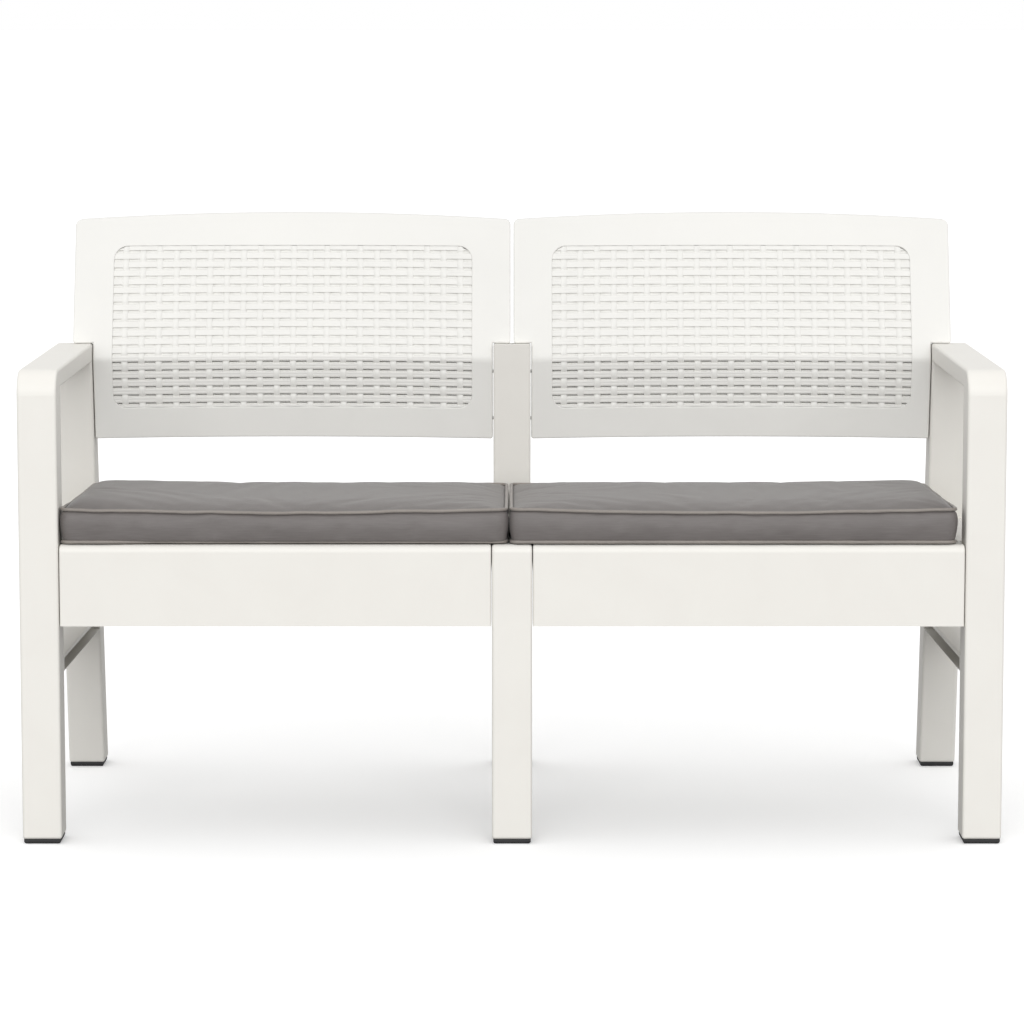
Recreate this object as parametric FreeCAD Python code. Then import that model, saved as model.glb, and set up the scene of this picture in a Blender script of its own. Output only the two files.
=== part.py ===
import FreeCAD, Part
import math
import os

# Two-seat garden bench, moulded in white polypropylene, with two loose cushions.
# Millimetres.  Seen from the front, +X is to the right; the front faces -Y, and +Z is up.
# The origin is on the floor, at the centre of the bench's footprint.

V = FreeCAD.Vector

# ---- Driving dimensions ----
WIDTH = 1200.0
DEPTH = 570.0
HEIGHT = 750.0
ARM_Z = 582.0             # flat tops of the arms and of the rear posts
ARM_T = 24.0
SEAT_Z = 370.0            # top of the apron, at its front face
SEAT_FALL = 0.035         # the seat drops this much for each millimetre towards the back
WALL = 4.0                # moulded wall thickness
EDGE_R = 3.5              # rounding of the frames' long edges

SIDE_W = 48.0             # width of a side frame's legs and arm
CENTRE_W = 49.0           # width of the centre frame
FRONT_LEG_D = 52.0
REAR_LEG_D = 49.0         # measured along Y
RAKE = 0.1926             # the rear legs lean forward this much for each millimetre of height
ARM_FRONT_R = 30.0
ARM_REAR_R = 25.0
ARM_POCKETS = 4           # pockets under each arm, with ribs between them
ARM_POCKET_L = 84.0
PAD_H = 6.0               # foot pads
PAD_INSET = 1.5
PLUG_H = 22.0             # the pads' plugs, pushed into the legs
PLUG_PLAY = 0.2

RAIL_H = 21.0             # low stretcher
RAIL_Z = 205.0            # its underside at the front leg
RAIL_FALL = 0.030
RAIL_WALL = 3.0
RAIL_R = 12.0             # rounding under the stretcher's rear end
BEARER_H = 34.0           # rail under the seat's edge

GAP = 1.0                 # moulding gap between neighbouring parts
APRON_H = 100.0
APRON_R = 9.0
SEAT_BACK_Y = 163.0
SKIRT_H = 40.0
TONGUE_T = 7.0            # seat edge that lies on the bearers
TONGUE_W = 33.0
RIB_T = 2.5
SEAT_RIB_H = 28.0
SEAT_BAYS = 6             # bays between the seat's ribs, side by side
SEAT_RIB_Y = (-170.0, -60.0, 50.0)
DRAIN_Y = (-115.0, -5.0, 105.0)   # drain slots in the deck, one in each bay
DRAIN_HALF = 22.0

BACK_BOTTOM_Z = 455.0
CREASE_Z = 563.0
BACK_SLOPE = 0.354        # recline above the crease
BACK_EDGE_Z = 742.0       # top edge at the panel's ends
BACK_IN_X = 2.0
BACK_OUT_X = 577.0
BACK_FRONT_Y = 135.0      # front face at the crease, at the panel's sides
BACK_R = 1300.0           # plan radius, hollow towards the sitter
BACK_SKIN = 4.2
BACK_DEPTH = 22.0         # depth of the panel's border flange
BACK_RIB_X = 160.0        # rear ribs above and below the window, each side of its middle
CREASE_R = 20.0
RIM_R = 2.0               # rounding of the back's front edges
SWEEP = 28.0              # degrees that a back's surfaces are swept, past both its sides
CUT_Y0 = 80.0             # prisms that cut the back run between these, past both its faces
CUT_Y1 = 280.0

WINDOW_HALF = 236.5       # woven window
WINDOW_Z0 = 495.8
WINDOW_Z1 = 707.0
WINDOW_R = 18.0
WINDOW_RIM_R = 1.0
WINDOW_SINK = 3.5         # the weave's web lies this far behind the border's face
WEB_T = 2.6
STRAND_PITCH_X = 22.1
STRAND_PITCH_Z = 11.05
STRAND_COLUMNS = 21
STAKE_W = 7.5             # upright stakes of the weave
OPEN_ROWS = 6             # rows of open slots, counted from the bottom
SLOT_H = 2.8
FIRST_SLOT_Z = 500.8
SLEEVE_D = 12.0           # each open slot row runs back through a sleeve this deep
SLEEVE_T = 1.6

CUSHION_IN_X = 2.7
CUSHION_OUT_X = 546.0
CUSHION_D = 396.0
CUSHION_T = 44.0
CUSHION_R = 9.0
COVER_T = 1.5
WELT_R = 2.5
ZIP_INSET = 60.0          # the zip stops this far from the cushion's sides
ZIP_W = 22.0
SOFT_GAP = 0.4

SCREW_R = 2.1
SCREW_HEAD_R = 4.5
SCREW_HEAD_H = 3.0
SCREW_LENGTH = 19.0

# ---- Positions that follow from them ----
FRONT_Y = -DEPTH / 2
REAR_Y = DEPTH / 2
SIDE_IN_X = WIDTH / 2 - SIDE_W
LEG_BACK_Y = FRONT_Y + FRONT_LEG_D
BACK_X = (BACK_IN_X + BACK_OUT_X) / 2
PANEL_IN_X = CENTRE_W / 2 + GAP
PANEL_OUT_X = SIDE_IN_X - GAP
SHOULDER_Z = ARM_Z + 0.3
BACK_HALF = (BACK_OUT_X - BACK_IN_X) / 2
BACK_AXIS_Y = BACK_FRONT_Y - math.sqrt(BACK_R ** 2 - (BACK_HALF - 24.0) ** 2)
SEAT_SCREW_Y = (-180.0, 110.0)
SEAT_SCREW_X = (CENTRE_W / 4, SIDE_IN_X + 17.0)
BACK_SCREW_Z = (482.0, 545.0)
BACK_SCREW_IN = 18.0      # the back screws lie this far behind the rear posts' front faces
PEG_X = (13.5, 565.0)
PEG_Y = 150.0
PEG_R = 3.5
PEG_H = 12.0


def rear_face(z):
    """Y of a rear leg's back face at height z."""
    return REAR_Y - RAKE * (z - PAD_H)


def rear_front(z):
    """Y of a rear leg's front face at height z."""
    return rear_face(z) - REAR_LEG_D


def seat_top(y):
    return SEAT_Z - SEAT_FALL * (y - FRONT_Y)


def rail_under(y):
    return RAIL_Z - RAIL_FALL * (y - LEG_BACK_Y)


def box(x0, x1, y0, y1, z0, z1):
    return Part.makeBox(x1 - x0, y1 - y0, z1 - z0, V(x0, y0, z0))


def prism_x(points, x0, x1):
    """A polygon of (y, z) points, extruded from x0 to x1."""
    loop = [V(x0, y, z) for y, z in points]
    face = Part.Face(Part.makePolygon(loop + loop[:1]))
    return face.extrude(V(x1 - x0, 0, 0))


def fuse(shapes):
    return shapes[0].fuse(shapes[1:]).removeSplitter()


def mirrored(shape):
    return shape.mirror(V(0, 0, 0), V(1, 0, 0))


def edges_where(shape, test):
    """Edges whose middle point and direction pass the test."""
    found = []
    for edge in shape.Edges:
        middle = edge.valueAt((edge.FirstParameter + edge.LastParameter) / 2)
        ends = edge.Vertexes
        if len(ends) < 2:
            continue
        along = ends[1].Point - ends[0].Point
        if test(middle, along):
            found.append(edge)
    return found


def along_x(along):
    return abs(along.x) > 1.0 and abs(along.y) < 0.01 and abs(along.z) < 0.01


def along_y(along):
    return abs(along.y) > 1.0 and abs(along.x) < 0.01 and abs(along.z) < 0.01


def round_corner(shape, direction, place, radius):
    """Round the one straight edge along the direction that passes through the place."""
    def at_place(middle, along):
        if not direction(along):
            return False
        offset = middle - place
        if direction is along_x:
            offset.x = 0
        else:
            offset.y = 0
        return offset.Length < 0.5
    return shape.makeFillet(radius, edges_where(shape, at_place))


# ---- Frames ----

def leg_opening(x0, x1):
    """The space between the legs, under the stretcher."""
    top_rear = rail_under(rear_front(RAIL_Z))
    opening = prism_x([(LEG_BACK_Y, PAD_H - 5), (LEG_BACK_Y, rail_under(LEG_BACK_Y)),
                       (rear_front(top_rear), top_rear), (rear_front(PAD_H - 5), PAD_H - 5)],
                      x0 - 5, x1 + 5)
    return round_corner(opening, along_x, V(0, rear_front(top_rear), top_rear), RAIL_R)


def middle_opening(x0, x1):
    """The space between the stretcher and the seat bearer."""
    low_y = rear_front(RAIL_Z + RAIL_H)
    high_y = rear_front(SEAT_Z - TONGUE_T - BEARER_H)
    return prism_x([(LEG_BACK_Y, rail_under(LEG_BACK_Y) + RAIL_H),
                    (LEG_BACK_Y, bearer_top(LEG_BACK_Y) - BEARER_H),
                    (high_y, bearer_top(high_y) - BEARER_H),
                    (low_y, rail_under(low_y) + RAIL_H)], x0 - 5, x1 + 5)


def bearer_top(y):
    return seat_top(y) - TONGUE_T


def arm_opening(x0, x1):
    """The space between the seat bearer and the arm."""
    low_y = rear_front(bearer_top(rear_front(SEAT_Z)))
    under_arm = ARM_Z - ARM_T
    return prism_x([(LEG_BACK_Y, bearer_top(LEG_BACK_Y)), (LEG_BACK_Y, under_arm),
                    (rear_front(under_arm), under_arm), (low_y, bearer_top(low_y))],
                   x0 - 5, x1 + 5)


def front_leg_core(x0, x1, top):
    """Hollow of a front leg, open at the foot."""
    return box(x0 + WALL, x1 - WALL, FRONT_Y + WALL, LEG_BACK_Y - WALL, PAD_H - 1, top)


def rear_leg_core(x0, x1, top):
    """Hollow of a rear leg, open at the foot; the post above it is solid for its screws."""
    low = PAD_H - 1
    return prism_x([(rear_front(low) + WALL, low), (rear_face(low) - WALL, low),
                    (rear_face(top) - WALL, top), (rear_front(top) + WALL, top)],
                   x0 + WALL, x1 - WALL)


def bearer_cores(x0, x1):
    """Pockets under the seat bearer, between the blocks that hold the seat screws."""
    stops = [LEG_BACK_Y + WALL, SEAT_SCREW_Y[0] - 12, SEAT_SCREW_Y[0] + 12,
             SEAT_SCREW_Y[1] - 12, SEAT_SCREW_Y[1] + 12, rear_front(SEAT_Z) - WALL]
    pockets = []
    for start, end in zip(stops[0::2], stops[1::2]):
        pockets.append(prism_x([(start, 250), (start, bearer_top(start) - WALL),
                                (end, bearer_top(end) - WALL), (end, 250)],
                               x0 + WALL, x1 - WALL))
    keep = box(x0, x1, LEG_BACK_Y, rear_front(SEAT_Z), 290, SEAT_Z)
    return [pocket.common(keep) for pocket in pockets]


def rail_pocket(x0, x1):
    """The open side of the C-shaped stretcher."""
    start = LEG_BACK_Y + RAIL_WALL
    end = rear_front(RAIL_Z) - RAIL_WALL
    return prism_x([(start, rail_under(start) + RAIL_WALL),
                    (start, rail_under(start) + RAIL_H - RAIL_WALL),
                    (end, rail_under(end) + RAIL_H - RAIL_WALL),
                    (end, rail_under(end) + RAIL_WALL)], x0, x1)


def pilot_holes(xs):
    """Vertical pilot holes for the seat screws."""
    holes = []
    for x in xs:
        for y in SEAT_SCREW_Y:
            holes.append(Part.makeCylinder(SCREW_R + 0.05, 28, V(x, y, bearer_top(y) - 26)))
    return holes


def post_holes(peg_x, face_x, inward):
    """Peg socket in a post's top, and pilot holes for the back screws in its side."""
    holes = [Part.makeCylinder(PEG_R + 0.2, PEG_H + 2, V(peg_x, PEG_Y, ARM_Z - PEG_H - 1))]
    for z in BACK_SCREW_Z:
        y = rear_front(z) + BACK_SCREW_IN
        start = V(face_x - inward, y, z)
        holes.append(Part.makeCylinder(SCREW_R + 0.05, 17, start, V(inward, 0, 0)))
    return holes


def side_frame():
    """The +X side frame: front leg, arm, rear leg, seat bearer and stretcher in one moulding."""
    x0 = SIDE_IN_X
    x1 = WIDTH / 2
    outline = [(FRONT_Y, PAD_H), (FRONT_Y, ARM_Z), (rear_face(ARM_Z), ARM_Z), (REAR_Y, PAD_H)]
    body = prism_x(outline, x0, x1)
    body = round_corner(body, along_x, V(0, FRONT_Y, ARM_Z), ARM_FRONT_R)
    body = round_corner(body, along_x, V(0, rear_face(ARM_Z), ARM_Z), ARM_REAR_R)
    body = body.cut([leg_opening(x0, x1), middle_opening(x0, x1), arm_opening(x0, x1)])

    def on_face(middle, along):
        flat = abs(middle.x - x0) < 0.01 or abs(middle.x - x1) < 0.01
        foot = along_x(along) and abs(middle.z - PAD_H) < 0.01
        return (flat and abs(along.x) < 0.01) or foot
    body = body.makeFillet(EDGE_R, edges_where(body, on_face))

    cores = [front_leg_core(x0, x1, ARM_Z - 40), rear_leg_core(x0, x1, 440)]
    cores += bearer_cores(x0, x1)
    cores.append(rail_pocket(x0 - 1, x1 - WALL))
    for index in range(ARM_POCKETS):
        start = LEG_BACK_Y + WALL + index * (ARM_POCKET_L + RAIL_WALL)
        cores.append(box(x0 + WALL, x1 - WALL, start, start + ARM_POCKET_L,
                         ARM_Z - ARM_T - 1, ARM_Z - WALL))
    cores += pilot_holes([SEAT_SCREW_X[1]])
    cores += post_holes(PEG_X[1], x0, 1)
    return body.cut(cores)


def centre_frame():
    """The centre frame: a short front leg, the seat bearer, the stretcher and the rear post."""
    x0 = -CENTRE_W / 2
    x1 = CENTRE_W / 2
    outline = [(FRONT_Y, PAD_H), (FRONT_Y, SEAT_Z), (LEG_BACK_Y, seat_top(LEG_BACK_Y)),
               (LEG_BACK_Y, bearer_top(LEG_BACK_Y)),
               (rear_front(350), bearer_top(rear_front(350))),
               (rear_front(ARM_Z), ARM_Z), (rear_face(ARM_Z), ARM_Z), (REAR_Y, PAD_H)]
    body = prism_x(outline, x0, x1)
    body = body.cut([leg_opening(x0, x1), middle_opening(x0, x1)])
    body = round_corner(body, along_x, V(0, FRONT_Y, SEAT_Z), APRON_R)
    body = round_corner(body, along_x, V(0, rear_face(ARM_Z), ARM_Z), ARM_REAR_R)

    def on_face(middle, along):
        flat = abs(abs(middle.x) - x1) < 0.01
        foot = along_x(along) and abs(middle.z - PAD_H) < 0.01
        return (flat and abs(along.x) < 0.01) or foot
    body = body.makeFillet(EDGE_R, edges_where(body, on_face))

    cores = [front_leg_core(x0, x1, SEAT_Z - 60), rear_leg_core(x0, x1, 440)]
    cores += bearer_cores(x0, x1)
    cores.append(rail_pocket(x0 - 1, -WALL / 2))
    cores.append(rail_pocket(WALL / 2, x1 + 1))
    cores += pilot_holes([-SEAT_SCREW_X[0], SEAT_SCREW_X[0]])
    cores += post_holes(PEG_X[0], x1, -1)
    cores += post_holes(-PEG_X[0], x0, 1)
    return body.cut(cores)


def foot_pad(x0, x1, rear):
    """A black pad with a plug that is pushed into the leg's open foot."""
    if rear:
        y0 = rear_front(PAD_H)
        y1 = REAR_Y
    else:
        y0 = FRONT_Y
        y1 = LEG_BACK_Y
    plate = box(x0 + PAD_INSET, x1 - PAD_INSET, y0 + PAD_INSET, y1 - PAD_INSET, 0, PAD_H)
    plate = plate.makeFillet(PAD_H * 0.6, edges_where(plate, lambda m, a: m.z < 0.01))
    inset = WALL + PLUG_PLAY
    lean = RAKE * PLUG_H if rear else 0.0
    plug = prism_x([(y0 + inset, PAD_H - 0.5), (y1 - inset, PAD_H - 0.5),
                    (y1 - inset - lean, PAD_H + PLUG_H), (y0 + inset - lean, PAD_H + PLUG_H)],
                   x0 + inset, x1 - inset)
    hollow = prism_x([(y0 + inset + WALL, PAD_H), (y1 - inset - WALL, PAD_H),
                      (y1 - inset - lean - WALL, PAD_H + PLUG_H + 1),
                      (y0 + inset - lean + WALL, PAD_H + PLUG_H + 1)],
                     x0 + inset + WALL, x1 - inset - WALL)
    return fuse([plate, plug]).cut(hollow)


# ---- Seats ----

def seat_panel():
    """The +X seat: apron, deck, skirts and ribs in one moulding, open underneath."""
    x0 = PANEL_IN_X
    x1 = PANEL_OUT_X
    low = SEAT_Z - APRON_H
    back = SEAT_BACK_Y
    knee = LEG_BACK_Y + 18
    outline = [(FRONT_Y, low), (FRONT_Y, SEAT_Z), (back, seat_top(back)),
               (back, seat_top(back) - SKIRT_H), (knee, seat_top(knee) - SKIRT_H),
               (LEG_BACK_Y, low)]
    body = prism_x(outline, x0, x1)
    body = round_corner(body, along_x, V(0, FRONT_Y, SEAT_Z), APRON_R)

    def front_rim(middle, along):
        end = abs(middle.x - x0) < 0.01 or abs(middle.x - x1) < 0.01
        return end and abs(along.x) < 0.01 and (middle.y < FRONT_Y + 8 or middle.z > SEAT_Z - 12)
    body = body.makeFillet(2.5, edges_where(body, front_rim))

    inner = [(FRONT_Y + WALL, low - 9), (FRONT_Y + WALL, seat_top(FRONT_Y) - WALL),
             (back - WALL, seat_top(back - WALL) - WALL), (back - WALL, low - 9)]
    core = prism_x(inner, x0 + WALL, x1 - WALL)
    core = round_corner(core, along_x, V(0, FRONT_Y + WALL, SEAT_Z - WALL), APRON_R - WALL)
    body = body.cut(core)

    ribs = []
    rib_outline = [(FRONT_Y + 2, low + 12), (FRONT_Y + 2, SEAT_Z - 5), (back - 2, seat_top(back) - 2),
                   (back - 2, seat_top(back) - SEAT_RIB_H), (knee, seat_top(knee) - SEAT_RIB_H),
                   (LEG_BACK_Y, low + 12)]
    for index in range(1, SEAT_BAYS):
        x = x0 + (x1 - x0) * index / SEAT_BAYS
        ribs.append(prism_x(rib_outline, x - RIB_T / 2, x + RIB_T / 2))
    for y in SEAT_RIB_Y:
        ribs.append(box(x0 + 2, x1 - 2, y, y + RIB_T, seat_top(y) - SEAT_RIB_H, seat_top(y) - 3))
    tongues = []
    for start, end in ((0.6, x0 + 2), (x1 - 2, x1 + TONGUE_W)):
        tongues.append(prism_x([(LEG_BACK_Y + 2, seat_top(LEG_BACK_Y + 2) - TONGUE_T),
                                (LEG_BACK_Y + 2, seat_top(LEG_BACK_Y + 2)),
                                (back, seat_top(back)), (back, seat_top(back) - TONGUE_T)],
                               start, end))
    body = fuse([body] + ribs + tongues)

    holes = []
    for x in SEAT_SCREW_X:
        for y in SEAT_SCREW_Y:
            holes.append(Part.makeCylinder(SCREW_R + 0.3, 12, V(x, y, seat_top(y) - 10)))
            holes.append(Part.makeCylinder(SCREW_HEAD_R + 0.5, 8, V(x, y, screw_seat(y))))
    for column in range(SEAT_BAYS):
        middle = x0 + (x1 - x0) * (column + 0.5) / SEAT_BAYS
        for y in DRAIN_Y:
            holes.append(box(middle - DRAIN_HALF, middle + DRAIN_HALF, y - 3, y + 3,
                             seat_top(y) - 8, seat_top(y) + 4))
    return body.cut(holes)


def screw_seat(y):
    """Height of the counterbore's floor, where a seat screw's head bears."""
    return seat_top(y) - SCREW_HEAD_H - 0.6


# ---- Backs ----

def face_radius(z):
    """Distance of the back's front face from its axis, at height z."""
    if z < CREASE_Z:
        return BACK_R + RAKE * (CREASE_Z - z)
    return BACK_R + BACK_SLOPE * (z - CREASE_Z)


def rim_edges(shape, low, high):
    """Edges that bound the back's front face between two heights, without the lines of the crease."""
    found = []
    for edge in shape.Edges:
        middle = edge.valueAt((edge.FirstParameter + edge.LastParameter) / 2)
        radius = math.hypot(middle.x - BACK_X, middle.y - BACK_AXIS_Y)
        at_crease = abs(middle.z - CREASE_Z) < CREASE_R / 2
        if at_crease and abs(middle.x - BACK_X) < 5:
            continue
        reach = 1.0 if at_crease else 0.05
        if low < middle.z < high and abs(radius - face_radius(middle.z)) < reach:
            found.append(edge)
    return found


def back_section(near, far, low, high):
    """Side section of the back between two horizontal offsets from its front face.

    It leans with the rear posts up to the crease and reclines above it.
    """
    down = V(0, RAKE, -1).normalize()
    up = V(0, BACK_SLOPE, 1).normalize()
    half_bend = (math.atan(RAKE) + math.atan(BACK_SLOPE)) / 2
    tangent = CREASE_R * math.tan(half_bend)
    sink = CREASE_R / math.cos(half_bend) - CREASE_R
    bisector = (down + up).normalize()

    def line(offset):
        crease = V(BACK_X, BACK_AXIS_Y + BACK_R + offset, CREASE_Z)
        bottom = crease + V(0, RAKE * (CREASE_Z - low), low - CREASE_Z)
        top = crease + V(0, BACK_SLOPE * (high - CREASE_Z), high - CREASE_Z)
        return bottom, crease + down * tangent, crease + bisector * sink, crease + up * tangent, top

    first = line(near)
    last = line(far)
    edges = [Part.LineSegment(first[0], first[1]).toShape(),
             Part.Arc(first[1], first[2], first[3]).toShape(),
             Part.LineSegment(first[3], first[4]).toShape(),
             Part.LineSegment(first[4], last[4]).toShape(),
             Part.LineSegment(last[4], last[3]).toShape(),
             Part.Arc(last[3], last[2], last[1]).toShape(),
             Part.LineSegment(last[1], last[0]).toShape(),
             Part.LineSegment(last[0], first[0]).toShape()]
    return Part.Face(Part.Wire(edges))


def back_slab(near, far, low=BACK_BOTTOM_Z - 10, high=HEIGHT + 10):
    """The side section swept round the back's vertical axis, wider than the panel."""
    face = back_section(near, far, low, high)
    axis = V(BACK_X, BACK_AXIS_Y, 0)
    face.rotate(axis, V(0, 0, 1), -SWEEP / 2)
    return face.revolve(axis, V(0, 0, 1), SWEEP)


def back_outline(inset):
    """The panel's outline in front view, as a prism: narrow between the posts, wide above them."""
    low = BACK_BOTTOM_Z + inset
    step = SHOULDER_Z + inset
    inner = BACK_IN_X + inset
    outer = BACK_OUT_X - inset
    edge = BACK_EDGE_Z - inset
    crown = HEIGHT - inset
    points = [(inner, edge), (inner, step), (PANEL_IN_X + inset, step), (PANEL_IN_X + inset, low),
              (PANEL_OUT_X - inset, low), (PANEL_OUT_X - inset, step), (outer, step), (outer, edge)]
    loop = [V(x, CUT_Y0, z) for x, z in points]
    path = Part.makePolygon(loop).Edges
    path.append(Part.Arc(loop[-1], V(BACK_X, CUT_Y0, crown), loop[0]).toShape())
    prism = Part.Face(Part.Wire(path)).extrude(V(0, CUT_Y1 - CUT_Y0, 0))
    radii = [((inner, edge), 8.0), ((outer, edge), 8.0), ((inner, step), 4.0), ((outer, step), 4.0),
             ((PANEL_IN_X + inset, low), 3.0), ((PANEL_OUT_X - inset, low), 3.0)]
    for (x, z), radius in radii:
        prism = round_corner(prism, along_y, V(x, 0, z), radius)
    return prism


def window_prism(grow):
    """The woven window's outline, grown all round."""
    prism = box(BACK_X - WINDOW_HALF - grow, BACK_X + WINDOW_HALF + grow, CUT_Y0, CUT_Y1,
                WINDOW_Z0 - grow, WINDOW_Z1 + grow)
    return prism.makeFillet(WINDOW_R + grow, edges_where(prism, lambda m, a: along_y(a)))


def slot_band(z, half_height, near, far):
    """A band swept round the back's axis, square to the lower part's face, so it rises rearwards."""
    face_y = BACK_AXIS_Y + face_radius(z)
    corners = []
    for offset, half in ((near, -half_height), (near, half_height),
                         (far, half_height), (far, -half_height)):
        corners.append(V(BACK_X, face_y + offset, z + half + RAKE * (offset - near)))
    face = Part.Face(Part.makePolygon(corners + corners[:1]))
    axis = V(BACK_X, BACK_AXIS_Y, 0)
    face.rotate(axis, V(0, 0, 1), -SWEEP / 2)
    return face.revolve(axis, V(0, 0, 1), SWEEP)


def weave_slots():
    """Open slots between the stakes, in the lowest rows of the weave."""
    clear = STRAND_PITCH_X - STAKE_W
    first = BACK_X - STRAND_PITCH_X * (STRAND_COLUMNS - 1) / 2
    cells = []
    for column in range(STRAND_COLUMNS + 1):
        x = first + (column - 0.5) * STRAND_PITCH_X
        x0 = max(x - clear / 2, BACK_X - WINDOW_HALF)
        x1 = min(x + clear / 2, BACK_X + WINDOW_HALF)
        cells.append(box(x0, x1, CUT_Y0, CUT_Y1, WINDOW_Z0, CREASE_Z))
    cells = Part.makeCompound(cells).common(window_prism(0))
    slots = []
    for row in range(OPEN_ROWS):
        z = FIRST_SLOT_Z + row * STRAND_PITCH_Z
        slots += slot_band(z, SLOT_H / 2, -2, SLEEVE_D + 8).common(cells).Solids
    return slots


def slot_sleeves():
    """The walls behind the web, above and below each row of open slots."""
    sleeves = []
    reach = box(BACK_X - WINDOW_HALF - 1, BACK_X + WINDOW_HALF + 1, CUT_Y0, CUT_Y1,
                WINDOW_Z0, CREASE_Z + 6)
    front = back_slab(-9, WINDOW_SINK + 1)
    for row in range(OPEN_ROWS):
        z = FIRST_SLOT_Z + row * STRAND_PITCH_Z
        sleeve = slot_band(z, SLOT_H / 2 + SLEEVE_T, -2, WINDOW_SINK + SLEEVE_D).common(reach)
        sleeves.append(sleeve.cut(front))
    return sleeves


def back_ribs():
    """Rear ribs: round the window, beside it, and above and below it."""
    rim = window_prism(RIB_T).cut(window_prism(0))
    bars = []
    for x in (-WINDOW_HALF - 25, WINDOW_HALF + 25):
        bars.append((x, SHOULDER_Z + 1, BACK_EDGE_Z - 2))
    for x in (-BACK_RIB_X, 0, BACK_RIB_X):
        bars.append((x, WINDOW_Z1 + 1, HEIGHT - 6))
        bars.append((x, BACK_BOTTOM_Z + 1, WINDOW_Z0 - 1))
    bars = [box(BACK_X + x - RIB_T / 2, BACK_X + x + RIB_T / 2, CUT_Y0, CUT_Y1, low, high)
            for x, low, high in bars]
    slab = back_slab(BACK_SKIN - 1, BACK_DEPTH - 6)
    return [slab.common(rim)] + slab.common(Part.makeCompound(bars)).Solids


def back_panel():
    """The +X back: border shell, woven window web, rear ribs, shoulder pegs and screw holes."""
    body = back_slab(0, BACK_DEPTH).common(back_outline(0))
    body = body.makeFillet(RIM_R, rim_edges(body, 0, HEIGHT + 1))
    body = body.cut(back_slab(-5, WINDOW_SINK).common(window_prism(0)))
    inner_rim = [edge for edge in rim_edges(body, WINDOW_Z0 - 1, WINDOW_Z1 + 1)
                 if abs(edge.CenterOfMass.x - BACK_X) < WINDOW_HALF + 1]
    body = body.makeFillet(WINDOW_RIM_R, inner_rim)
    web = back_slab(0, WINDOW_SINK + WEB_T).common(window_prism(RIB_T))
    pocket = back_slab(BACK_SKIN, BACK_DEPTH + 9).common(back_outline(WALL)).cut(web)
    pegs = [Part.makeCylinder(PEG_R, PEG_H + 2, V(x, PEG_Y, ARM_Z - PEG_H)) for x in PEG_X]
    body = fuse([body.cut(pocket)] + back_ribs() + pegs + slot_sleeves())
    body = body.cut(weave_slots())
    holes = []
    for z in BACK_SCREW_Z:
        y = rear_front(z) + BACK_SCREW_IN
        holes.append(Part.makeCylinder(SCREW_R + 0.3, 8, V(PANEL_IN_X - 1, y, z), V(1, 0, 0)))
        holes.append(Part.makeCylinder(SCREW_R + 0.3, 8, V(PANEL_OUT_X + 1, y, z), V(-1, 0, 0)))
    return body.cut(holes)


# ---- Fasteners ----

def screw(place, outward):
    """A pan-head screw; the place is the centre of the head's bearing face."""
    head = Part.makeCylinder(SCREW_HEAD_R, SCREW_HEAD_H)
    head = head.makeFillet(1.4, edges_where_top(head))
    cross = [box(-2.6, 2.6, -0.6, 0.6, SCREW_HEAD_H - 1.5, SCREW_HEAD_H + 1),
             box(-0.6, 0.6, -2.6, 2.6, SCREW_HEAD_H - 1.5, SCREW_HEAD_H + 1)]
    shank = Part.makeCylinder(SCREW_R, SCREW_LENGTH - 2.5, V(0, 0, 3 - SCREW_LENGTH))
    tip = Part.makeCone(0.3, SCREW_R, 3, V(0, 0, -SCREW_LENGTH))
    body = fuse([head.cut(cross), shank, tip])
    body.Placement = FreeCAD.Placement(place, FreeCAD.Rotation(V(0, 0, 1), outward))
    return body


def edges_where_top(head):
    return [edge for edge in head.Edges if edge.Curve.TypeId == "Part::GeomCircle"
            and abs(edge.CenterOfMass.z - SCREW_HEAD_H) < 0.01]


def seat_screws():
    screws = []
    for x in SEAT_SCREW_X:
        for y in SEAT_SCREW_Y:
            for side in (-1, 1):
                screws.append(screw(V(side * x, y, screw_seat(y)), V(0, 0, 1)))
    return Part.makeCompound(screws)


def back_screws():
    screws = []
    for z in BACK_SCREW_Z:
        y = rear_front(z) + BACK_SCREW_IN
        for side in (-1, 1):
            screws.append(screw(V(side * (PANEL_IN_X + WALL), y, z), V(side, 0, 0)))
            screws.append(screw(V(side * (PANEL_OUT_X - WALL), y, z), V(-side, 0, 0)))
    return Part.makeCompound(screws)


# ---- Cushions ----

CUSHION_Y = FRONT_Y + 4.5
WELT_REACH = (CUSHION_R + WELT_R + 0.1) * math.sqrt(0.5)   # from the rounded edge's centre line
WELT_INSET = CUSHION_R - WELT_REACH                          # from the cushion's flat faces
WELT_PROUD = WELT_R - WELT_INSET


def cushion_block(inset):
    """A cushion's body, shrunk all round by the inset, lying level with its front at y = 0."""
    block = box(CUSHION_IN_X + inset, CUSHION_OUT_X - inset, inset, CUSHION_D - inset,
                inset, CUSHION_T - inset)
    return block.makeFillet(CUSHION_R - inset, block.Edges)


def on_seat(shape):
    """Lay a cushion piece on the sloping seat."""
    shape.rotate(V(0, 0, 0), V(1, 0, 0), -math.degrees(math.atan(SEAT_FALL)))
    shape.translate(V(0, CUSHION_Y, seat_top(CUSHION_Y) + WELT_PROUD + SOFT_GAP))
    return shape


def cushion_cover():
    return on_seat(cushion_block(0).cut(cushion_block(COVER_T)))


def cushion_foam():
    return on_seat(cushion_block(COVER_T + 0.3))


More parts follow.
